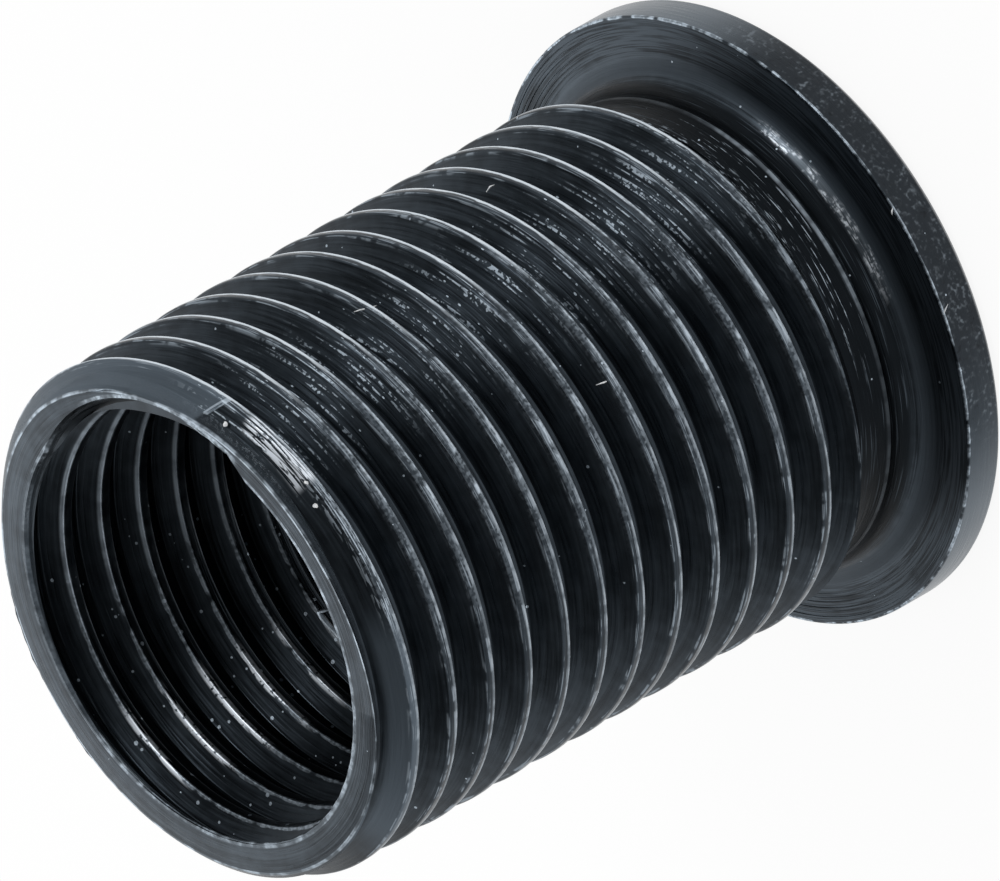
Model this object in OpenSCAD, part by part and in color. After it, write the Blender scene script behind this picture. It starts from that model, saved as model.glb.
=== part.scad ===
// Threaded insert: a thin turned bushing with a thread outside and inside and a flange at one end.
// It stands on the flat outer face of its flange, with its threaded end up. Z runs along its axis.
// Both threads are given here by the cylinders that bound them: the crests of the outer thread
// and the crests of the bore thread. The helical ridges themselves are not cut.

/* [Threads] */
// Nominal diameter of the thread in the bore
bore_thread_d = 12; // [6:0.5:24]
// Height of the ridges in the bore, along the radius
bore_ridge_h = 0.55; // [0.3:0.05:0.8]
// Wall left between the roots of the two threads
root_web = 0.1; // [0.1:0.05:2]
// Height of the ridges outside, along the radius
outer_ridge_h = 0.7; // [0.4:0.05:1]
// Distance from one ridge to the next, the same on both threads
pitch = 1.25; // [1:0.25:2]

/* [Body] */
// Length from the seat face of the flange to the threaded end
body_l = 18.2; // [8:0.1:30]
// Chamfer at the threaded end, along the radius
end_chamfer = 0.45; // [0.1:0.05:0.6]

/* [Neck] */
// Width of the relief under the flange, counted in ridges
neck_ridges = 1.5; // [1:0.25:2.5]
// How far the neck stands above the root of the outer thread
neck_rise = 0.1; // [0:0.05:0.3]
// Radius of the fillet from the neck to the seat face
neck_fillet_r = 0.8; // [0.1:0.05:1]

/* [Flange] */
// How far the flange stands out past the ridges of the outer thread
flange_lip = 1.15; // [0.8:0.05:3]
// Thickness of the flange
flange_t = 1.2; // [0.6:0.1:3]
// Chamfer around the outer face of the flange
flange_chamfer = 0.2; // [0.05:0.05:0.3]
// Bevel that breaks the edge of the seat face
seat_bevel = 0.05; // [0.02:0.01:0.1]

/* [Bore] */
// Countersink at the threaded end, along the radius
end_sink = 0.13; // [0.05:0.01:0.3]
// Countersink at the flange, past the root of the bore thread
flange_sink = 0.15; // [0.05:0.05:0.4]

/* [Hidden] */
$fn = 96;
past = 1; // how far a cutting tool runs past the face that it cuts
bore_r = bore_thread_d / 2 - bore_ridge_h;
outer_root_r = bore_thread_d / 2 + root_web;
crest_r = outer_root_r + outer_ridge_h;
neck_r = outer_root_r + neck_rise;
neck_w = neck_ridges * pitch;
neck_top = flange_t + neck_w;
neck_slope = crest_r - neck_r; // the thread ends over a 45 degree cone
flange_r = crest_r + flange_lip;
total_l = flange_t + body_l;
flange_sink_depth = bore_thread_d / 2 + flange_sink - bore_r;

// Half section of the flange, with its broken edges
module flange_section() {
    polygon([
        [0, 0],
        [flange_r - flange_chamfer, 0],
        [flange_r, flange_chamfer],
        [flange_r, flange_t - seat_bevel],
        [flange_r - seat_bevel, flange_t],
        [0, flange_t]
    ]);
}

// Half section of the neck, with the fillet that joins it to the seat face
module neck_section() {
    translate([0, flange_t]) square([neck_r, neck_w]);
    difference() {
        translate([0, flange_t]) square([neck_r + neck_fillet_r, neck_fillet_r]);
        translate([neck_r + neck_fillet_r, flange_t + neck_fillet_r]) circle(r = neck_fillet_r);
    }
}

// Half section of the threaded body out to the crests, from the neck to the chamfered end
module body_section() {
    polygon([
        [0, neck_top],
        [neck_r, neck_top],
        [crest_r, neck_top + neck_slope],
        [crest_r, total_l - end_chamfer],
        [crest_r - end_chamfer, total_l],
        [0, total_l]
    ]);
}

// Bore out to the crests of its thread, with a countersink at each end
module bore() {
    translate([0, 0, -past]) cylinder(r = bore_r, h = total_l + 2 * past);
    translate([0, 0, total_l - end_sink])
        cylinder(r1 = bore_r, r2 = bore_r + end_sink + past, h = end_sink + past);
    translate([0, 0, -past])
        cylinder(r1 = bore_r + flange_sink_depth + past, r2 = bore_r, h = flange_sink_depth + past);
}

module threaded_insert() {
    color("#2b2f36")
    difference() {
        rotate_extrude()
            union() {
                flange_section();
                neck_section();
                body_section();
            }
        bore();
    }
}

threaded_insert();
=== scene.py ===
"""A flanged threaded insert of black oxide steel, standing on its flange on a pale table.

Z runs along the insert's axis, from the flat face of the flange to the threaded end.
Angles round the axis are in degrees from +X, counter-clockwise seen from the threaded end.
Lengths are in millimetres until a mesh is finished.
"""

import math

import bmesh
import bpy
from mathutils import Matrix, Quaternion, Vector


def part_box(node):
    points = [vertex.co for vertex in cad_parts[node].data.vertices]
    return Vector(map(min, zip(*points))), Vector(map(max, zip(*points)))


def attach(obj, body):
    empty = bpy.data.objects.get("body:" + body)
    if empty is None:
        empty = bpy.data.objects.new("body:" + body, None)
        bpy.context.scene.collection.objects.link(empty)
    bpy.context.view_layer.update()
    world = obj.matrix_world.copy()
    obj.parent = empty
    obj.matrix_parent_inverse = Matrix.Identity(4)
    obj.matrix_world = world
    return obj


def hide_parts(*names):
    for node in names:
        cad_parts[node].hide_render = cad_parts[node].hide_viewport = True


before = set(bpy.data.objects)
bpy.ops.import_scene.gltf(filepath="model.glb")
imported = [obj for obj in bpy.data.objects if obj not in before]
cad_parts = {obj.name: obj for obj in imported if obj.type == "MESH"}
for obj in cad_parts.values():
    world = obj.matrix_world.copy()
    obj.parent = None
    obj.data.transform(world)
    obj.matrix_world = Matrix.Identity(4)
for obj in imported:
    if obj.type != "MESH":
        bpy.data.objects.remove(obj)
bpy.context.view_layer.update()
low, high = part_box("threaded_insert")

MM = 0.001
TOTAL_L = high.z / MM
FLANGE_R = high.x / MM

# both threads: 60 degree form, right-hand, the same pitch
PITCH = 1.25
FLANK_RUN = math.tan(math.radians(30))  # how far a flank runs along the axis per unit of height
OUTER_ROOT_R = 6.1
OUTER_CREST_R = 6.8
OUTER_CREST_W = 0.235
OUTER_START_Z = 17.7405  # middle of a ridge on the +X side
BORE_CREST_R = 5.45
BORE_ROOT_R = 6.0
BORE_CREST_W = 0.27
BORE_START_Z = 17.9245
LIP_R = 5.577  # plain lip of the bore at the threaded end

END_CHAMFER = 0.45
NECK_R = 6.2
NECK_FILLET_R = 0.82
NECK_TOP = 3.075
FLANGE_T = 1.2
FLANGE_CHAMFER = 0.2
SEAT_BEVEL = 0.05
EDGE_ROUND = 0.05
# the facing rings on the seat: their width, how far it varies, and how they lean in degrees
RING_W, RING_VARIES, RING_LEAN = 0.12, 0.04, 7
# the raised line round the neck, as (height above the seat, rise)
RAISED_LINE = [(0.83, 0), (0.86, 0.02), (0.91, 0.035), (0.96, 0.02), (1.02, 0)]

OPENING_R = 4.93  # a cone set off to one side of the bore
OPENING_SHIFT = 1.1
OPENING_AZIMUTH = -32
OPENING_START = -59

LINT_R = 0.022
# the path of each fibre of lint, as (radius, azimuth, height) points
LINT = [
    [(6.72, -33.4, 7.93), (6.77, -33.9, 8.13), (6.72, -34.3, 8.31)],
    [(6.74, -87.6, 10.39), (6.78, -87.9, 10.2), (6.72, -88.1, 9.96)],
    [(6.78, -47.2, 14.2), (6.8, -47.7, 14.05), (6.76, -48.0, 13.86), (6.78, -48.7, 13.62)],
    [(7.84, -87.6, 1.22), (7.91, -87.1, 1.23), (7.935, -86.6, 1.17)],
    [(7.93, -107.1, 1.17), (7.97, -106.4, 1.1), (7.96, -105.8, 0.96)],
]

CRUMB_R = 0.06
# the middle of each crumb, as (radius, azimuth, height)
CRUMBS = [(6.71, -75.8, 18.86), (6.62, -80.7, 19.0), (6.5, -54.4, 19.22)]

SEAM_GAP = 0.003  # ends of a full turn this close together are one
LATHE_STEPS = 192
BORE_STEPS = 144


# ---------------------------------------------------------------- solids


def polyline(points):
    """A wire in the XZ half plane through (radius, height) points."""
    bm = bmesh.new()
    verts = [bm.verts.new((r, 0, z)) for r, z in points]
    for a, b in zip(verts, verts[1:]):
        bm.edges.new((a, b))
    return bm, verts


def round_corners(bm, verts, offset, segments):
    bmesh.ops.bevel(
        bm, geom=verts, affect="VERTICES", offset=offset, segments=segments, profile=0.5, material=-1
    )


def close_solid(bm, name):
    """Merges the seams, points the faces outwards and hands back an object."""
    bmesh.ops.remove_doubles(bm, verts=bm.verts, dist=1e-5)
    bmesh.ops.recalc_face_normals(bm, faces=bm.faces)
    mesh = bpy.data.meshes.new(name)
    bm.to_mesh(mesh)
    bm.free()
    obj = bpy.data.objects.new(name, mesh)
    bpy.context.scene.collection.objects.link(obj)
    return obj


def turned(name, points, rounded=(), steps=LATHE_STEPS):
    """A turned solid from a section whose first and last points lie on the axis.

    rounded lists (point index, offset, segments) for the corners that are broken.
    """
    bm, verts = polyline(points)
    for index, offset, segments in rounded:
        round_corners(bm, [verts[index]], offset, segments)
    bmesh.ops.spin(
        bm, geom=bm.verts[:] + bm.edges[:], cent=(0, 0, 0), axis=(0, 0, 1),
        angle=math.tau, steps=steps, use_merge=True,
    )
    return close_solid(bm, name)


def threaded_rod(name, root_r, crest_r, crest_w, ridge_z, z_low, z_high, crest_round, root_round, steps):
    """A rod with a right-hand thread, cut square at z_low and z_high.

    ridge_z is the height of the middle of one ridge on the +X side. For a bore the rod is the
    tap: its ridges are where the grooves of the bore are.
    """
    half = crest_w / 2
    foot = half + (crest_r - root_r) * FLANK_RUN
    first = math.floor((z_low - ridge_z) / PITCH) - 2
    last = math.ceil((z_high - ridge_z) / PITCH) + 2
    points, crests, roots = [], [], []
    for turn in range(first, last):
        z = ridge_z + turn * PITCH
        roots += [len(points), len(points) + 3]
        crests += [len(points) + 1, len(points) + 2]
        points += [(root_r, z - foot), (crest_r, z - half), (crest_r, z + half), (root_r, z + foot)]
    bm, verts = polyline(points)
    ends = {0, len(points) - 1}
    round_corners(bm, [verts[i] for i in crests], *crest_round)
    round_corners(bm, [verts[i] for i in roots if i not in ends], *root_round)
    bmesh.ops.spin(
        bm, geom=bm.verts[:] + bm.edges[:], cent=(0, 0, 0), axis=(0, 0, 1),
        dvec=(0, 0, PITCH / steps), angle=math.tau, steps=steps, use_merge=False,
    )
    bmesh.ops.remove_doubles(bm, verts=bm.verts, dist=SEAM_GAP)
    for z, side in ((z_low, -1), (z_high, 1)):
        cut = bmesh.ops.bisect_plane(
            bm, geom=bm.verts[:] + bm.edges[:] + bm.faces[:], plane_co=(0, 0, z),
            plane_no=(0, 0, side), clear_outer=True,
        )
        rim = [g for g in cut["geom_cut"] if isinstance(g, bmesh.types.BMEdge)]
        bmesh.ops.contextual_create(bm, geom=rim)
    return close_solid(bm, name)


def polar(radius, azimuth, height):
    """A point from its radius and height in millimetres and its angle in degrees from +X."""
    a = math.radians(azimuth)
    return Vector((radius * math.cos(a), radius * math.sin(a), height))


def arc(radius, azimuth, height, steps, waver):
    """A slightly wavy path round the axis; each of the first three is a (from, to) pair."""
    path = []
    for k in range(steps + 1):
        share = k / steps
        r, a, z = (lo + (hi - lo) * share for lo, hi in (radius, azimuth, height))
        path.append(polar(r + waver * math.sin(k * 1.9), a, z - waver * abs(math.sin(k * 2.7))))
    return path


def sliver(name, path, thickness):
    """A thread of metal or lint along a path, thinner at both ends."""
    curve = bpy.data.curves.new(name, "CURVE")
    curve.dimensions = "3D"
    curve.bevel_depth = thickness
    curve.bevel_resolution = 1
    curve.use_fill_caps = True
    spline = curve.splines.new("POLY")
    spline.points.add(len(path) - 1)
    for k, (point, place) in enumerate(zip(spline.points, path)):
        point.co = (*place, 1)
        point.radius = 0.3 + 0.7 * math.sin(math.pi * k / (len(path) - 1))
    holder = bpy.data.objects.new(name, curve)
    bpy.context.scene.collection.objects.link(holder)
    depsgraph = bpy.context.evaluated_depsgraph_get()
    mesh = bpy.data.meshes.new_from_object(holder.evaluated_get(depsgraph))
    bpy.data.objects.remove(holder)
    bm = bmesh.new()
    bm.from_mesh(mesh)
    return close_solid(bm, name)


def cut_with(body, tool, operation):
    """Joins, cuts or crops body with tool, and throws the tool away."""
    boolean = body.modifiers.new(operation, "BOOLEAN")
    boolean.operation = operation
    boolean.solver = "MANIFOLD"
    boolean.object = tool
    depsgraph = bpy.context.evaluated_depsgraph_get()
    mesh = bpy.data.meshes.new_from_object(body.evaluated_get(depsgraph))
    body.modifiers.clear()
    body.data = mesh
    bpy.data.objects.remove(tool)
    return body


# ---------------------------------------------------------------- the insert


def threaded_body():
    """The outer thread, cropped by the turned blank: chamfered end, sloped run-out at the neck."""
    rod = threaded_rod(
        "outer_rod", OUTER_ROOT_R, OUTER_CREST_R, OUTER_CREST_W, OUTER_START_Z,
        NECK_TOP - 0.4, TOTAL_L + 0.3, (0.045, 3), (0.05, 2), LATHE_STEPS,
    )
    slope = OUTER_CREST_R - NECK_R
    blank = turned("blank", [
        (0, NECK_TOP - 0.3),
        (NECK_R - 0.3, NECK_TOP - 0.3),
        (OUTER_CREST_R + 0.1, NECK_TOP + slope + 0.1),
        (OUTER_CREST_R + 0.1, TOTAL_L - END_CHAMFER - 0.1),
        (OUTER_CREST_R - END_CHAMFER, TOTAL_L),
        (0, TOTAL_L),
    ], [(4, 0.03, 2)])
    return cut_with(rod, blank, "INTERSECT")


def seat_rings(r_out, r_in, z):
    """The facing marks on the seat: shallow saw-tooth rings that lean outwards, from outside in."""
    points, r, k = [], r_out, 0
    while r > r_in:
        width = RING_W + RING_VARIES * math.sin(2.4 * k)
        inner = max(r - width, r_in)
        drop = (r - inner) * math.tan(math.radians(RING_LEAN))
        points += [(r, z - drop), (inner, z)]
        r, k = inner - 0.004, k + 1
    return points


def flange_and_neck():
    """The flange with its broken edges, the fillet, and the neck with a raised line round it."""
    rings = seat_rings(FLANGE_R - 0.08, NECK_R + NECK_FILLET_R + 0.03, FLANGE_T)
    return turned("flange", [
        (0, 0),
        (FLANGE_R - FLANGE_CHAMFER, 0),
        (FLANGE_R, FLANGE_CHAMFER),
        (FLANGE_R, FLANGE_T - 0.01),
        *rings,
        (NECK_R, FLANGE_T),
        *((NECK_R + rise, FLANGE_T + above) for above, rise in RAISED_LINE),
        (NECK_R, 2.7),
        (OUTER_ROOT_R - 0.02, NECK_TOP + 0.15),
        (0, NECK_TOP + 0.15),
    ], [(1, EDGE_ROUND, 2), (2, EDGE_ROUND, 2), (3, SEAT_BEVEL, 3), (4 + len(rings), NECK_FILLET_R, 14)])


def tap():
    """What is cut out of the bore: a threaded rod, held short of the lip at the threaded end."""
    groove_w = PITCH - BORE_CREST_W - 2 * (BORE_ROOT_R - BORE_CREST_R) * FLANK_RUN
    rod = threaded_rod(
        "tap", BORE_CREST_R, BORE_ROOT_R, groove_w, BORE_START_Z + PITCH / 2,
        -0.5, TOTAL_L + 0.5, (0.04, 2), (0.035, 3), BORE_STEPS,
    )
    sleeve = turned("sleeve", [
        (0, -1), (7, -1), (7, TOTAL_L - 0.35), (LIP_R + 0.2, TOTAL_L - 0.32), (LIP_R, TOTAL_L - 0.12),
        (LIP_R, TOTAL_L + 1), (0, TOTAL_L + 1),
    ], steps=BORE_STEPS)
    return cut_with(rod, sleeve, "INTERSECT")


def mouth_sinks():
    """The countersinks at the two mouths of the bore."""
    top = TOTAL_L
    return [
        turned("sink_low", [(0, -1), (7.15, -1), (5.35, 0.8), (0, 0.8)], steps=BORE_STEPS),
        turned("sink_high", [
            (0, top - 0.3), (5.4, top - 0.3), (5.45, top - 0.25), (5.58, top), (5.9, top + 0.5),
            (0, top + 0.5),
        ], steps=BORE_STEPS),
    ]


def opening():
    """Where the first groove of the bore breaks out through the end face, cut off aslant."""
    top = TOTAL_L
    obj = turned("opening", [
        (0, top - 0.5), (OPENING_R - 0.28, top - 0.45), (OPENING_R, top), (OPENING_R, top + 0.5),
        (0, top + 0.5),
    ], steps=BORE_STEPS)
    bm = bmesh.new()
    bm.from_mesh(obj.data)
    bmesh.ops.translate(bm, verts=bm.verts, vec=polar(OPENING_SHIFT, OPENING_AZIMUTH, 0))
    wide, narrow = polar(5.93, OPENING_START + 2, 0), polar(5.56, OPENING_START - 7, 0)
    side = (wide - narrow).cross(Vector((0, 0, 1)))
    cut = bmesh.ops.bisect_plane(
        bm, geom=bm.verts[:] + bm.edges[:] + bm.faces[:], plane_co=wide, plane_no=side, clear_outer=True,
    )
    rim = [g for g in cut["geom_cut"] if isinstance(g, bmesh.types.BMEdge)]
    bmesh.ops.contextual_create(bm, geom=rim)
    bmesh.ops.recalc_face_normals(bm, faces=bm.faces)
    bm.to_mesh(obj.data)
    bm.free()
    return obj


def burrs():
    """Slivers of metal left on the edges at the threaded end."""
    top = TOTAL_L
    return [
        sliver("mouth_roll", arc((5.56, 5.565), (104, 290), (top - 0.036, top - 0.036), 90, 0.008), 0.034),
        sliver("opening_roll", arc((5.84, 5.99), (-57, -40), (top - 0.04, top - 0.045), 12, 0.012), 0.038),
        sliver("flank_step", [
            polar(6.38, -48.2, top - 0.15), polar(6.5, -49.1, top - 0.22), polar(6.62, -49.9, top - 0.31),
            polar(6.78, -51, top - 0.43),
        ], 0.02),
        sliver("edge_curl", arc((6.4, 6.42), (58, 88), (top - 0.07, top - 0.075), 20, 0.015), 0.05),
        sliver("edge_curl_end", arc((6.42, 6.4), (97, 106), (top - 0.08, top - 0.075), 7, 0.012), 0.05),
        sliver("hook", [
            polar(5.68, -102.6, top - 0.06), polar(5.4, -102.8, top - 0.05), polar(5.15, -102.9, top - 0.05),
            polar(5.17, -104.4, top - 0.06), polar(5.32, -107.2, top - 0.07), polar(5.5, -109.4, top - 0.08),
            polar(5.7, -112, top - 0.1),
        ], 0.07),
    ]


def damage():
    """What is cut out of the edges: a slot in the threaded end and a nick in the flange."""
    return [
        sliver("slot", arc((6.22, 6.18), (-24, -11), (TOTAL_L, TOTAL_L), 8, 0.006), 0.035),
        sliver("nick", arc((7.97, 7.97), (8.8, 12), (1.24, 1.18), 4, 0.01), 0.1),
    ]


insert = threaded_body()
cut_with(insert, flange_and_neck(), "UNION")
cut_with(insert, tap(), "DIFFERENCE")
for sink in mouth_sinks():
    cut_with(insert, sink, "DIFFERENCE")
cut_with(insert, opening(), "DIFFERENCE")
for burr in burrs():
    cut_with(insert, burr, "UNION")
for mark in damage():
    cut_with(insert, mark, "DIFFERENCE")
insert.name = "insert_body"
insert.data.transform(Matrix.Scale(MM, 4))
insert.data.shade_smooth()
insert.data.set_sharp_from_angle(angle=math.radians(24))
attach(insert, "root")
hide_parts("threaded_insert")


# ---------------------------------------------------------------- materials


class Graph:
    """Adds nodes to a tree. A value may be a number or the output of another node."""

    def __init__(self, tree):
        self.tree = tree

    def put(self, socket, value):
        if isinstance(value, bpy.types.NodeSocket):
            self.tree.links.new(value, socket)
        else:
            socket.default_value = value

    def node(self, kind, values=None, **settings):
        node = self.tree.nodes.new("ShaderNode" + kind)
        for key, value in settings.items():
            setattr(node, key, value)
        for key, value in (values or {}).items():
            self.put(node.inputs[key], value)
        return node

    def math(self, operation, *values):
        node = self.node("Math", operation=operation)
        for socket, value in zip(node.inputs, values):
            self.put(socket, value)
        return node.outputs[0]

    def times(self, *values):
        total = values[0]
        for value in values[1:]:
            total = self.math("MULTIPLY", total, value)
        return total

    def most(self, *values):
        total = values[0]
        for value in values[1:]:
            total = self.math("MAXIMUM", total, value)
        return total

    def flip(self, value):
        return self.math("SUBTRACT", 1.0, value)

    def step(self, value, start, end):
        """0 before start, 1 past end, eased in between; start may be the larger of the two."""
        values = {"Value": value, "From Min": start, "From Max": end}
        return self.node("MapRange", values, interpolation_type="SMOOTHSTEP").outputs["Result"]

    def band(self, value, low, high, soft):
        """1 between low and high."""
        rise = self.step(value, low - soft, low + soft)
        return self.times(rise, self.step(value, high + soft, high - soft))

    def noise(self, vector, scale, detail=2.0):
        values = {"Vector": vector, "Scale": scale, "Detail": detail}
        return self.node("TexNoise", values).outputs[0]

    def blend(self, factor, a, b):
        """Mixes two numbers."""
        return self.node("Mix", {0: factor, 2: a, 3: b}, data_type="FLOAT").outputs[0]

    def tint(self, factor, a, b):
        """Mixes two colours."""
        return self.node("Mix", {0: factor, 6: a, 7: b}, data_type="RGBA").outputs[2]

    def use(self, group, values):
        node = self.node("Group", node_tree=group)
        for key, value in values.items():
            self.put(node.inputs[key], value)
        return node.outputs


def node_group(name, inputs, outputs):
    """A shader group; inputs are (name, kind, value), outputs are (name, kind)."""
    tree = bpy.data.node_groups.new(name, "ShaderNodeTree")
    for label, kind, value in inputs:
        socket = tree.interface.new_socket(label, in_out="INPUT", socket_type="NodeSocket" + kind)
        if value is not None:
            socket.default_value = value
    for label, kind in outputs:
        tree.interface.new_socket(label, in_out="OUTPUT", socket_type="NodeSocket" + kind)
    given, out = tree.nodes.new("NodeGroupInput"), tree.nodes.new("NodeGroupOutput")
    return tree, Graph(tree), given.outputs, out.inputs


def lathe_coordinates():
    """Where a point lies on the insert: millimetres, and degrees round the axis from +X."""
    tree, g, _, out = node_group(
        "lathe coordinates", [],
        [("Position", "Vector"), ("Radius", "Float"), ("Height", "Float"), ("Azimuth", "Float")],
    )
    metres = g.node("TexCoord").outputs["Object"]
    place = g.node("VectorMath", {0: metres, "Scale": 1 / MM}, operation="SCALE").outputs[0]
    x, y, z = g.node("SeparateXYZ", {0: place}).outputs
    g.put(out["Position"], place)
    g.put(out["Radius"], g.math("SQRT", g.math("ADD", g.times(x, x), g.times(y, y))))
    g.put(out["Height"], z)
    g.put(out["Azimuth"], g.times(g.math("ARCTAN2", y, x), math.degrees(1)))
    return tree


def thread_phase():
    """How far a point is, along the axis, from the middle of the nearest ridge."""
    tree, g, given, out = node_group(
        "thread phase", [("Height", "Float", 0), ("Azimuth", "Float", 0), ("Start", "Float", 0)],
        [("Along", "Float")],
    )
    turns = g.times(g.math("SUBTRACT", given["Height"], given["Start"]), 1 / PITCH)
    turns = g.math("SUBTRACT", turns, g.times(given["Azimuth"], 1 / 360))
    g.put(out["Along"], g.times(g.math("SUBTRACT", turns, g.math("ROUND", turns)), PITCH))
    return tree


def turning_lines():
    """Fine lines left by the tool: long round the axis, narrow across."""
    tree, g, given, out = node_group(
        "turning lines",
        [
            ("Position", "Vector", None), ("Across", "Float", 0),
            ("Fineness", "Float", 20), ("Length", "Float", 1),
        ],
        [("Lines", "Float"), ("Stretched", "Vector")],
    )
    x, y, z = g.node("SeparateXYZ", {0: given["Position"]}).outputs
    u = g.math("MULTIPLY_ADD", z, 0.6, x)
    v = g.math("MULTIPLY_ADD", z, -0.5, y)
    vector = g.node("CombineXYZ", {
        0: g.math("DIVIDE", u, given["Length"]), 1: g.math("DIVIDE", v, given["Length"]),
        2: g.times(given["Across"], given["Fineness"]),
    }).outputs[0]
    g.put(out["Stretched"], vector)
    g.put(out["Lines"], g.noise(vector, 1.0, 1.5))
    return tree


def ragged():
    """Breaks a clean mask up into the dashes and crumbs of real wear."""
    tree, g, given, out = node_group(
        "ragged wear",
        [("Mask", "Float", 0), ("Grain", "Float", 0.5), ("Patches", "Float", 0.5), ("Amount", "Float", 0.5)],
        [("Wear", "Float")],
    )
    # noise sits round a half, so Amount 0 leaves nothing and 1 leaves nearly all
    edge = g.math("MULTIPLY_ADD", given["Amount"], -0.4, 0.7)
    near = g.math("ADD", given["Grain"], g.times(g.math("SUBTRACT", given["Mask"], 1.0), 0.35))
    over = g.times(g.math("SUBTRACT", near, edge), 7.0)
    bright = g.math("MULTIPLY_ADD", g.step(given["Patches"], 0.35, 0.65), 0.6, 0.4)
    g.put(out["Wear"], g.times(g.step(over, 0.0, 1.0), g.step(given["Mask"], 0.0, 0.3), bright))
    return tree


def specks():
    """Scattered crumbs: Share of the cells hold one."""
    tree, g, given, out = node_group(
        "specks",
        [
            ("Position", "Vector", None), ("Scale", "Float", 4),
            ("Size", "Float", 0.2), ("Share", "Float", 0.1),
        ],
        [("Specks", "Float")],
    )
    cell = g.node("TexVoronoi", {"Vector": given["Position"], "Scale": given["Scale"]})
    red, green, _ = g.node("SeparateColor", {0: cell.outputs["Color"]}).outputs
    size = g.times(given["Size"], g.math("MULTIPLY_ADD", green, 0.9, 0.3))
    inside = g.math("LESS_THAN", cell.outputs["Distance"], size)
    g.put(out["Specks"], g.times(inside, g.math("LESS_THAN", red, given["Share"])))
    return tree


def oxide_grey(depth):
    """The blue-black hue of the oxide; the larger the depth, the paler."""
    return (0.8 * depth, depth, 1.21 * depth, 1)


WORN_AND_LIT = (0.42, 0.49, 0.56, 1)  # rubbed, with some oxide left; also the colour of painted glints and sheen
RIDGE_GLINT_COLOUR = (0.69, 0.76, 0.83, 1)  # the painted highlight line on each ridge
# bare steel, also the colour of painted highlights and glints
BARE_STEEL_AND_GLINT = (0.74, 0.80, 0.87, 1)


class Surface:
    """Where a point lies on the insert, and the noises that all its marks are made from."""

    def __init__(self, g):
        self.g = g
        self.ragged_group, self.lines_group, phase = ragged(), turning_lines(), thread_phase()
        self.place, self.radius, self.height, self.azimuth = g.use(lathe_coordinates(), {})
        radius, height, azimuth = self.radius, self.height, self.azimuth
        self.above = g.math("SUBTRACT", height, FLANGE_T)  # from the seat
        self.below = g.math("SUBTRACT", TOTAL_L, height)  # from the threaded end
        self.coarse, self.patches = g.noise(self.place, 2.3), g.noise(self.place, 9.0, 1.0)

        # the threads; along is 0 in the middle of a ridge
        self.outside = g.step(radius, 6.02, 6.07)
        self.thread = g.times(self.outside, g.band(height, NECK_TOP + 0.075, TOTAL_L - 0.15, 0.08))
        between_ends = g.times(g.step(self.below, 0.1, 0.18), g.step(height, 0.02, 0.06))
        self.bore = g.times(g.step(radius, 6.06, 6.02), between_ends)
        self.outer_along, self.bore_along = (
            g.use(phase, {"Height": height, "Azimuth": azimuth, "Start": start})[0]
            for start in (OUTER_START_Z, BORE_START_Z)
        )
        self.wavering = g.math("ADD", self.outer_along, g.math("MULTIPLY_ADD", self.coarse, 0.1, -0.05))
        # the band where the key lamp's highlight runs along the thread, for painted sparkle
        self.sparkle_band = g.times(g.band(azimuth, -72, -44, 9), self.thread)

        # the flange, and the fillet that joins it to the neck
        at_seat = g.band(self.above, -0.08, 0.02, 0.02)
        self.seat = g.times(at_seat, g.band(radius, 6.75, 7.87, 0.03))
        self.fillet = g.times(g.band(self.above, 0.005, 0.25, 0.03), g.band(radius, 6.5, 7.0, 0.03))
        self.rim = g.times(g.step(radius, 7.9, 7.93), g.step(self.above, 0, -0.1))

        # height above the first ridge, and the slanting line at which that ridge starts
        first_ridge = g.math("MULTIPLY_ADD", azimuth, PITCH / 360, OUTER_START_Z + PITCH)
        self.past_first = g.math("SUBTRACT", height, first_ridge)
        self.slant = g.math("ADD", azimuth, g.times(g.math("SUBTRACT", radius, 6.57), 7.0))

        plain = g.math("SUBTRACT", g.flip(self.thread), self.bore)
        across = g.math("ADD", g.times(self.thread, self.outer_along), g.times(self.bore, self.bore_along))
        self.across = g.math("ADD", across, g.times(plain, g.math("SUBTRACT", radius, height)))
        self.broad_lines, self.fine_lines = self.lines(9.0, 3.0), self.lines(26.0, 1.6)
        self.streaks, self.strokes = self.lines(22.0, 0.3), self.lines(12.0, 1.1)

    def lines(self, fineness, length, output="Lines"):
        values = {"Position": self.place, "Across": self.across, "Fineness": fineness, "Length": length}
        return self.g.use(self.lines_group, values)[output]

    def broken(self, mask, amount):
        """The mask broken up into dashes."""
        values = {"Mask": mask, "Grain": self.coarse, "Patches": self.patches, "Amount": amount}
        return self.g.use(self.ragged_group, values)[0]

    def uneven(self, noise, start, end, change, least):
        """A strength from least to least + change that follows a noise."""
        return self.g.math("MULTIPLY_ADD", self.g.step(noise, start, end), change, least)


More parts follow.
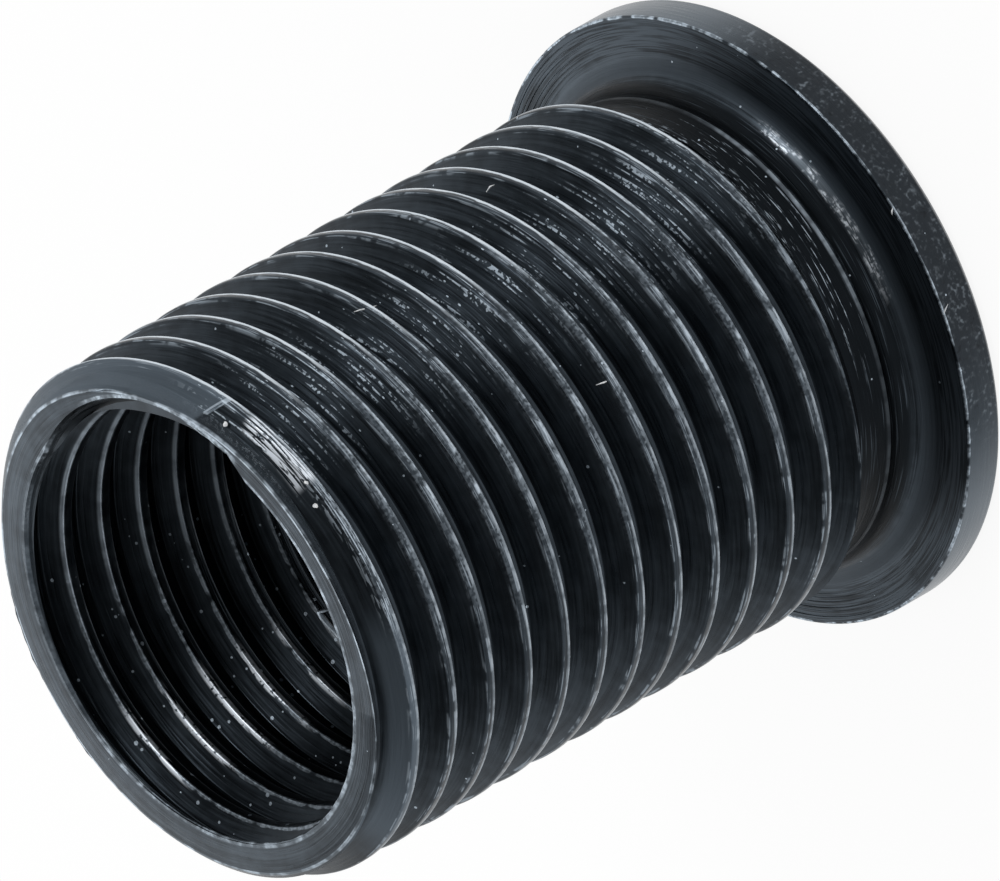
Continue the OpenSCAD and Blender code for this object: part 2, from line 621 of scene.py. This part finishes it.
def oxide_and_painted_light(s):
    """The colour of the oxide, with painted shade and painted sheen in places, and a mask of where it is
    matt.
    """
    g, radius, azimuth = s.g, s.radius, s.azimuth
    tone = g.math("ADD", g.times(s.fine_lines, 0.35), g.times(s.coarse, 0.25))
    tone = g.math("ADD", g.times(s.broad_lines, 0.4), tone)
    coat_and_painted_light = g.tint(g.step(tone, 0.34, 0.68), oxide_grey(0.026), oxide_grey(0.064))

    # masks for painted shade on the neck and in the grooves of the thread
    neck = g.times(s.outside, g.band(s.above, 0.3, 2.1, 0.12), g.step(radius, 6.44, 6.4))
    flank = g.times(s.thread, g.step(radius, 6.74, 6.62))
    # the flank of the first ridge that faces the end is coloured as pale as the end face
    facing = g.times(g.step(s.past_first, -0.1, -0.04), g.step(radius, 6.08, 6.14))
    facing = g.times(facing, g.step(s.below, 0.005, 0.03))
    far_pale = g.times(facing, g.band(s.slant, -49.2, 60, 0.6), g.step(azimuth, 60, 20))
    near_pale = g.times(facing, g.band(azimuth, -168, -108, 7), g.step(radius, 6.15, 6.4))
    # painted shade: a dark line in the groove root near the threaded end, on one side
    root_painted_shade = g.times(g.band(radius, 6.37, 6.44, 0.015), g.band(azimuth, -152, -124, 5))
    root_painted_shade = g.times(root_painted_shade, g.step(s.below, 0.4, 0.3))
    # painted sheen and shade on the rim: pale at both sides, and darker and blotched between them, where it
    # faces the camera
    rim_painted_shade = g.math("MULTIPLY_ADD", g.band(azimuth, -122, -42, 14), 0.7, 0.25)
    rim_painted_sheen = g.flip(g.band(azimuth, -138, -40, 12))
    blotches = g.step(s.patches, 0.52, 0.66)

    for share, colour in (
        # painted shade: the neck, the inside of the bore and the grooves of the thread are tinted darker
        (g.times(neck, g.step(s.fine_lines, 0.72, 0.6), 0.95), oxide_grey(0.008)),
        (g.times(s.bore, 0.2), oxide_grey(0.01)),
        (g.times(flank, 0.2), oxide_grey(0.021)),
        # painted highlight: the fillet is tinted paler, a broad light band
        (g.times(s.fillet, 0.65), oxide_grey(0.092)),
        (g.times(far_pale, 0.9), oxide_grey(0.13)),
        (g.times(near_pale, 0.9), oxide_grey(0.125)),
        (g.times(root_painted_shade, 0.9), oxide_grey(0.007)),
        (g.times(s.rim, 0.6), oxide_grey(0.081)),
        (g.times(s.rim, blotches, rim_painted_shade, 0.7), oxide_grey(0.014)),
        (g.times(s.rim, rim_painted_shade, 0.75), (0.0175, 0.019, 0.0212, 1)),
        (g.times(s.rim, rim_painted_sheen, 0.8), (0.15, 0.175, 0.2, 1)),
        (g.times(s.seat, g.step(s.fine_lines, 0.44, 0.58)), oxide_grey(0.081)),
    ):
        coat_and_painted_light = g.tint(share, coat_and_painted_light, colour)
    matt = g.most(s.fillet, g.times(s.seat, 0.8), g.times(g.most(far_pale, near_pale), 0.8))
    return coat_and_painted_light, matt


def ridge_wear(s):
    """The outer ridges: masks of what is rubbed, with painted glints and sparkle among it, and of a painted
    highlight line.
    """
    g, azimuth = s.g, s.azimuth
    crest = g.times(s.thread, g.step(s.radius, 6.68, 6.75))
    edge = g.times(crest, g.band(s.wavering, -0.2, -0.04, 0.03))
    smooth = g.times(edge, s.uneven(s.coarse, 0.35, 0.65, 0.35, 0.25))
    dashes = g.blend(g.step(azimuth, -80, -104), s.broken(edge, 0.82), smooth)
    hairlines = g.times(crest, g.step(s.fine_lines, 0.54, 0.62), g.step(s.coarse, 0.4, 0.55), 0.5)

    # the crests are paler and mottled on the turns that face the camera, with a row of painted glints
    pale_side = g.most(g.band(s.wavering, -0.2, 0.02, 0.05), 0.35)
    pale_crests = g.times(crest, g.band(azimuth, -116, -64, 12), pale_side)
    pale_crests = g.times(pale_crests, s.uneven(s.patches, 0.42, 0.62, 0.3, 0.04))
    middle = g.times(crest, g.band(s.wavering, -0.1, 0.03, 0.045), g.band(azimuth, -100, -82, 6))
    glints = g.times(middle, g.step(s.coarse, 0.44, 0.6), g.step(s.streaks, 0.34, 0.54))

    # scuffs, bright only along the band where the key lamp's highlight runs (painted sparkle), and dashes on
    # the ridge next to the neck
    scuffs = g.times(s.sparkle_band, g.step(s.fine_lines, 0.57, 0.66), g.step(s.patches, 0.47, 0.55), 0.95)
    low_ridge = g.times(g.band(s.above, 1.7, 2.7, 0.15), s.outside, g.band(azimuth, -84, -20, 12))
    low_dashes = g.times(low_ridge, g.step(s.streaks, 0.6, 0.7), 0.7)

    # painted highlight: a thin bright line on each ridge, clear over the turns on one side and patchy
    # elsewhere
    line = g.times(crest, g.band(s.wavering, -0.19, -0.02, 0.025))
    clear = g.most(g.band(azimuth, -56, 4, 8), g.times(g.step(s.coarse, 0.42, 0.7), 0.3))
    return g.most(dashes, hairlines, pale_crests, glints, scuffs, low_dashes), g.times(line, clear, 0.9)


def dust(s):
    """Crumbs all over: more in the bore, and long ones along the band where the key lamp's highlight runs, as
    painted sparkle.
    """
    g = s.g
    in_bore = g.times(s.bore, g.band(s.azimuth, 60, 178, 15))
    dotted = g.node("VectorMath", {0: s.place, "Scale": 4.6}, operation="SCALE").outputs[0]
    values = {0: g.step(s.sparkle_band, 0.1, 0.11), 4: dotted, 5: s.lines(13.0, 0.3, "Stretched")}
    where = g.node("Mix", values, data_type="VECTOR").outputs[1]
    values = {
        "Position": where, "Scale": 1.0, "Size": g.math("MULTIPLY_ADD", in_bore, 0.07, 0.15),
        "Share": g.math("ADD", g.math("MULTIPLY_ADD", s.sparkle_band, 0.3, 0.05), g.times(in_bore, 0.16)),
    }
    return g.times(g.use(specks(), values)[0], 0.95)


def flange_wear(s):
    """The flange and the neck: masks of what is rubbed, with painted highlights on the fillet and the raised
    line, and of the fillet's painted highlight in bare steel.
    """
    g, radius, above, azimuth = s.g, s.radius, s.above, s.azimuth
    seat_edge = s.broken(g.times(g.step(radius, 7.86, 7.9), g.band(above, -0.07, 0.01, 0.015)), 0.8)
    rim_specks = g.times(s.rim, g.band(azimuth, -132, -40, 8), 0.3)
    rim_specks = g.times(rim_specks, g.step(s.patches, 0.48, 0.8), g.step(s.coarse, 0.3, 0.7))
    # painted highlight: the hollow of the fillet, bright bare steel in dashes on the side facing the camera
    fillet_highlight_zone = g.times(g.band(above, 0.1, 0.34, 0.03), g.band(radius, 6.37, 6.55, 0.04))
    fillet_highlight_zone = g.times(fillet_highlight_zone, g.band(azimuth, -100, -57, 5))
    dashes = g.times(g.step(s.streaks, 0.38, 0.56), g.step(s.coarse, 0.4, 0.56), g.step(s.patches, 0.36, 0.6))

    # the raised line on the neck, painted brighter on the side where the light falls (a painted highlight),
    # and short marks beside it
    lit = g.math("MULTIPLY_ADD", g.band(azimuth, -98, -48, 10), 0.95, 0.15)
    raised = g.most(g.band(above, 0.85, 0.9, 0.015), g.times(g.band(above, 0.84, 1.0, 0.03), 0.5))
    neck_line_highlight = g.times(raised, g.band(radius, 6.19, 6.26, 0.01), lit)
    neck_line_highlight = g.times(neck_line_highlight, s.uneven(s.coarse, 0.36, 0.62, 0.6, 0.3))
    neck_marks = g.times(g.band(above, 1.06, 1.75, 0.05), s.outside, g.band(azimuth, -108, -40, 12))
    neck_marks = g.times(neck_marks, g.step(s.fine_lines, 0.6, 0.66), g.step(s.streaks, 0.48, 0.56), 0.8)
    # rubbed marks, with the painted highlights of the fillet and the raised line among them
    rubbed = g.most(seat_edge, rim_specks, g.times(fillet_highlight_zone, 0.14), neck_line_highlight, neck_marks)
    return rubbed, g.times(fillet_highlight_zone, dashes, 0.8)


def end_wear(s):
    """The threaded end: masks of what is rubbed and of what is bare."""
    g, radius, below, azimuth = s.g, s.radius, s.below, s.azimuth
    varying = s.uneven(s.coarse, 0.42, 0.62, 0.75, 0.2)

    # the inner edge: round the mouth, and round the place where the first groove breaks out
    x, y, _ = g.node("SeparateXYZ", {0: s.place}).outputs
    centre = polar(OPENING_SHIFT, OPENING_AZIMUTH, 0)
    off_x, off_y = g.math("SUBTRACT", x, centre.x), g.math("SUBTRACT", y, centre.y)
    off = g.math("SQRT", g.math("ADD", g.times(off_x, off_x), g.times(off_y, off_y)))
    far_side = g.math("MULTIPLY_ADD", g.band(azimuth, 20, 105, 8), -0.85, 1.0)
    back = s.uneven(g.math("ABSOLUTE", azimuth), 118, 126, -0.35, 1.0)
    mouth_ring = g.times(g.step(radius, 5.68, 5.64), far_side, back)
    opening_ring = g.step(off, OPENING_R + 0.11, OPENING_R + 0.07)
    opening_ring = g.times(opening_ring, g.band(azimuth, OPENING_START, -8, 3))
    mouth = g.times(g.step(below, 0.12, 0.07), g.most(mouth_ring, opening_ring))
    mouth = g.times(mouth, varying, s.uneven(s.patches, 0.4, 0.6, 0.5, 0.5))

    # the outer edge follows the ridge down as far as its root
    aside = g.math("ABSOLUTE", g.math("ADD", s.outer_along, below))
    ridge_foot = OUTER_CREST_W / 2 + (OUTER_CREST_R - OUTER_ROOT_R) * FLANK_RUN
    rise = g.times(g.math("MAXIMUM", g.math("SUBTRACT", ridge_foot, aside), 0.0), 1 / FLANK_RUN)
    edge_r = g.math("MINIMUM", g.math("ADD", rise, OUTER_ROOT_R), OUTER_CREST_R - END_CHAMFER)
    outer_edge = g.band(g.math("SUBTRACT", radius, edge_r), -0.045, 0.03, 0.015)
    outer_edge = g.times(g.step(below, 0.1, 0.04), outer_edge, varying)

    # the scuffed patch, the flakes beside it, and the step where the first ridge starts
    patch = g.times(g.band(azimuth, -76, -58, 1.2), g.band(below, 0.34, 0.8, 0.05))
    patch = g.times(patch, g.step(radius, 6.3, 6.4))
    patch = g.times(patch, g.step(s.fine_lines, 0.43, 0.49), g.step(s.streaks, 0.34, 0.42))
    flakes = g.times(g.band(s.past_first, -0.2, 0.2, 0.04), g.band(azimuth, -110, -76, 5))
    flakes = g.times(flakes, g.step(radius, 6.3, 6.45))
    flakes = g.times(flakes, g.step(s.fine_lines, 0.47, 0.54), g.step(s.streaks, 0.44, 0.5))
    step_line = g.times(g.band(s.slant, -50.2, -49.0, 0.2), g.band(radius, 6.36, 6.8, 0.02))
    step_line = g.times(step_line, g.step(s.past_first, -0.12, -0.08), 1.4)
    return g.most(mouth, outer_edge, flakes, step_line), patch


def bore_wear(s):
    """The ridges in the bore and its lip: masks of what is rubbed, with painted sheen and glints among it,
    and of painted glints in bare steel.
    """
    g, radius, below, azimuth, along = s.g, s.radius, s.below, s.azimuth, s.bore_along
    crest = g.times(s.bore, g.step(radius, 5.6, 5.52), g.band(s.height, 0.6, TOTAL_L - 0.2, 0.1))
    broken = g.times(s.broken(g.band(along, 0.09, 0.18, 0.02), 1.0), 0.6)
    thin = g.most(g.band(along, 0.1, 0.19, 0.02), g.times(g.band(along, -0.15, 0.2, 0.02), 0.3))
    # painted sheen: the crests are brighter on the side where they reflect the light
    bore_crest_sheen = g.times(g.band(azimuth, 5, 72, 12), thin, s.uneven(s.coarse, 0.35, 0.6, 0.35, 0.45))
    edge = g.times(crest, g.most(broken, bore_crest_sheen))
    # painted highlights on the lip's edge and at the mouth, only on the sides where the light catches them
    lip = g.times(g.band(below, 0.29, 0.35, 0.012), g.step(radius, 6.06, 6.02))
    lip_highlight = g.times(lip, g.most(g.band(azimuth, 14, 60, 5), g.band(azimuth, 98, 116, 3)), 0.7)
    lip_glint = g.times(g.band(below, 0.04, 0.11, 0.012), g.step(radius, 5.66, 5.62))
    lip_glint = g.times(lip_glint, g.band(azimuth, 102, 121, 2))
    # painted glints: long strokes of bare steel on one side, near the threaded end, where the key lamp
    # reflects
    strokes = g.times(s.bore, g.step(radius, 5.72, 5.62), g.band(along, 0.03, 0.19, 0.02))
    strokes = g.times(strokes, g.band(azimuth, 100, 127, 4), g.step(below, 8.4, 4.4))
    strokes = g.times(strokes, g.step(s.strokes, 0.4, 0.47), g.step(s.patches, 0.3, 0.42))
    return g.most(edge, lip_highlight, lip_glint), strokes


def black_oxide():
    """Blackened steel: turning lines, ridges rubbed bright, crumbs and scuffs, with painted shade, sheen,
    highlights and glints.
    """
    mat = bpy.data.materials.new("black oxide")
    mat.use_nodes = True
    g = Graph(mat.node_tree)
    bsdf = mat.node_tree.nodes["Principled BSDF"]
    s = Surface(g)
    coat_and_painted_light, matt = oxide_and_painted_light(s)
    ridges_worn_and_glinting, ridge_glint = ridge_wear(s)
    flange_wear_and_highlights, fillet_highlight = flange_wear(s)
    rubbed_end, bare_patch = end_wear(s)
    bore_wear_and_sheen, bore_glints = bore_wear(s)
    wear_and_painted_light = g.most(ridges_worn_and_glinting, flange_wear_and_highlights, rubbed_end, bore_wear_and_sheen, dust(s))
    # bare steel, with the painted highlight of the fillet and the painted glints in the bore
    bare = g.most(fillet_highlight, bare_patch, bore_glints)
    colour = g.tint(wear_and_painted_light, coat_and_painted_light, WORN_AND_LIT)
    colour = g.tint(ridge_glint, colour, RIDGE_GLINT_COLOUR)
    g.put(bsdf.inputs["Base Color"], g.tint(bare, colour, BARE_STEEL_AND_GLINT))
    bsdf.inputs["Metallic"].default_value = 1
    rough = g.math("MULTIPLY_ADD", s.fine_lines, 0.3, 0.16)
    rough = g.blend(matt, rough, 0.5)
    g.put(bsdf.inputs["Roughness"], g.blend(g.most(wear_and_painted_light, bare), rough, 0.42))
    bump = g.node("Bump", {"Height": s.fine_lines, "Strength": 0.6, "Distance": 0.000010})
    g.put(bsdf.inputs["Normal"], bump.outputs[0])
    return mat


insert.data.materials.clear()
insert.data.materials.append(black_oxide())


def lint():
    """A few pale fibres and crumbs that have settled on the insert."""
    mat = bpy.data.materials.new("lint")
    mat.use_nodes = True
    g = Graph(mat.node_tree)
    bsdf = mat.node_tree.nodes["Principled BSDF"]
    place = g.node("TexCoord").outputs["Object"]
    shade = g.step(g.noise(place, 9000.0), 0.35, 0.65)
    g.put(bsdf.inputs["Base Color"], g.tint(shade, (0.42, 0.44, 0.46, 1), (0.70, 0.71, 0.72, 1)))
    bsdf.inputs["Roughness"].default_value = 0.7
    pieces = [sliver("lint_%d" % k, [polar(*point) for point in path], LINT_R) for k, path in enumerate(LINT)]
    for k, (r, a, z) in enumerate(CRUMBS):
        bm = bmesh.new()
        bmesh.ops.create_icosphere(bm, subdivisions=2, radius=CRUMB_R)
        for v in bm.verts:
            v.co *= 1 + 0.3 * math.sin(40 * v.co.x + k) * math.sin(55 * v.co.y + 20 * v.co.z)
        bmesh.ops.translate(bm, verts=bm.verts, vec=polar(r, a, z))
        pieces.append(close_solid(bm, "crumb_%d" % k))
    for piece in pieces:
        piece.data.transform(Matrix.Scale(MM, 4))
        piece.data.shade_smooth()
        piece.data.materials.append(mat)
        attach(piece, "root")


lint()


# ---------------------------------------------------------------- table, light, camera

# in metres
TABLE_R = 3
TABLE_GAP = 0.00002  # the table lies this far under the insert
TABLE_GLOW = 0.9  # share of the table's white that is seen but lights nothing


def stage_material(name):
    """A material with no shader yet: the material, its graph and the socket for its surface."""
    mat = bpy.data.materials.new(name)
    mat.use_nodes = True
    nodes = mat.node_tree.nodes
    nodes.remove(nodes["Principled BSDF"])
    return mat, Graph(mat.node_tree), nodes["Material Output"].inputs["Surface"]


def table():
    """A pale table that shows as white and keeps the insert's shadow."""
    bm = bmesh.new()
    bmesh.ops.create_circle(bm, cap_ends=True, radius=TABLE_R, segments=64)
    bmesh.ops.translate(bm, verts=bm.verts, vec=(0, 0, -TABLE_GAP))
    obj = close_solid(bm, "table")
    if obj.data.polygons[0].normal.z < 0:
        obj.data.flip_normals()
    mat, g, surface = stage_material("white table")
    matte = g.node("BsdfDiffuse", {"Color": (0.8, 0.8, 0.8, 1)}).outputs[0]
    rays = g.node("LightPath").outputs
    seen = g.times(g.most(rays["Is Camera Ray"], rays["Is Glossy Ray"]), TABLE_GLOW)
    glowing = g.node("MixShader", {0: seen, 1: matte, 2: g.node("Emission").outputs[0]}).outputs[0]
    # from below the table is clear, so that the underside can be looked at
    below = g.node("NewGeometry").outputs["Backfacing"]
    clear = g.node("BsdfTransparent").outputs[0]
    g.put(surface, g.node("MixShader", {0: below, 1: glowing, 2: clear}).outputs[0])
    obj.data.materials.append(mat)


def direction(elevation, azimuth):
    """The unit vector at these angles in degrees, azimuth counter-clockwise from +X."""
    e, a = math.radians(elevation), math.radians(azimuth)
    return Vector((math.cos(e) * math.cos(a), math.cos(e) * math.sin(a), math.sin(e)))


def softbox(name, elevation, azimuth, distance, width, height, radiance):
    """A lamp that faces the insert, in metres; a mirror shows it as bright as radiance."""
    data = bpy.data.lights.new(name, "AREA")
    data.shape = "RECTANGLE"
    data.size, data.size_y = width, height
    data.energy = radiance * math.pi * width * height
    lamp = bpy.data.objects.new(name, data)
    bpy.context.scene.collection.objects.link(lamp)
    away = direction(elevation, azimuth)
    lamp.location = away * distance
    lamp.rotation_euler = away.to_track_quat("Z", "Y").to_euler()
    lamp.visible_camera = False


def card(name, elevation, azimuth, distance, radius, grey):
    """A round studio card that only reflections see."""
    bm = bmesh.new()
    bmesh.ops.create_circle(bm, cap_ends=True, radius=radius, segments=64)
    away = direction(elevation, azimuth)
    bmesh.ops.rotate(bm, verts=bm.verts, matrix=away.to_track_quat("Z", "Y").to_matrix())
    bmesh.ops.translate(bm, verts=bm.verts, vec=away * distance)
    obj = close_solid(bm, name)
    mat, g, surface = stage_material(name + " card")
    g.put(surface, g.node("Emission", {"Color": (grey, grey, grey, 1)}).outputs[0])
    obj.data.materials.append(mat)
    obj.visible_camera = False
    obj.visible_diffuse = False
    obj.visible_shadow = False


def room_light():
    """A white room with a dim ceiling, a softbox behind the insert and a small bright one in front."""
    world = bpy.data.worlds.new("room")
    bpy.context.scene.world = world
    world.use_nodes = True
    back = world.node_tree.nodes["Background"]
    back.inputs["Color"].default_value = (1, 1, 1, 1)
    back.inputs["Strength"].default_value = 1
    softbox("back_softbox", 34, 80, distance=0.5, width=0.3, height=0.26, radiance=1.6)
    softbox("key", 45, -30, distance=0.5, width=0.14, height=0.14, radiance=7)
    card("ceiling", 90, 0, distance=0.7, radius=1.1, grey=0.2)


def camera():
    """A long lens that looks 35 degrees down on the insert and is rolled on its side."""
    elevation, roll = math.radians(35.167), math.radians(119.56)
    distance, across, upward = 925.3, 0.476, 0.568
    data = bpy.data.cameras.new("camera")
    data.lens = 1400
    data.sensor_width = 36
    data.clip_start, data.clip_end = 0.1, 10
    cam = bpy.data.objects.new("camera", data)
    bpy.context.scene.collection.objects.link(cam)
    bpy.context.scene.camera = cam
    back = Vector((0, -math.cos(elevation), math.sin(elevation)))
    turn = back.to_track_quat("Z", "Y") @ Quaternion((0, 0, 1), -roll)
    right, up = turn @ Vector((1, 0, 0)), turn @ Vector((0, 1, 0))
    middle = (low + high) / 2
    cam.location = middle + (back * distance + right * across + up * upward) * MM
    cam.rotation_euler = turn.to_euler()


table()
room_light()
camera()
bpy.context.scene.view_settings.view_transform = "Standard"
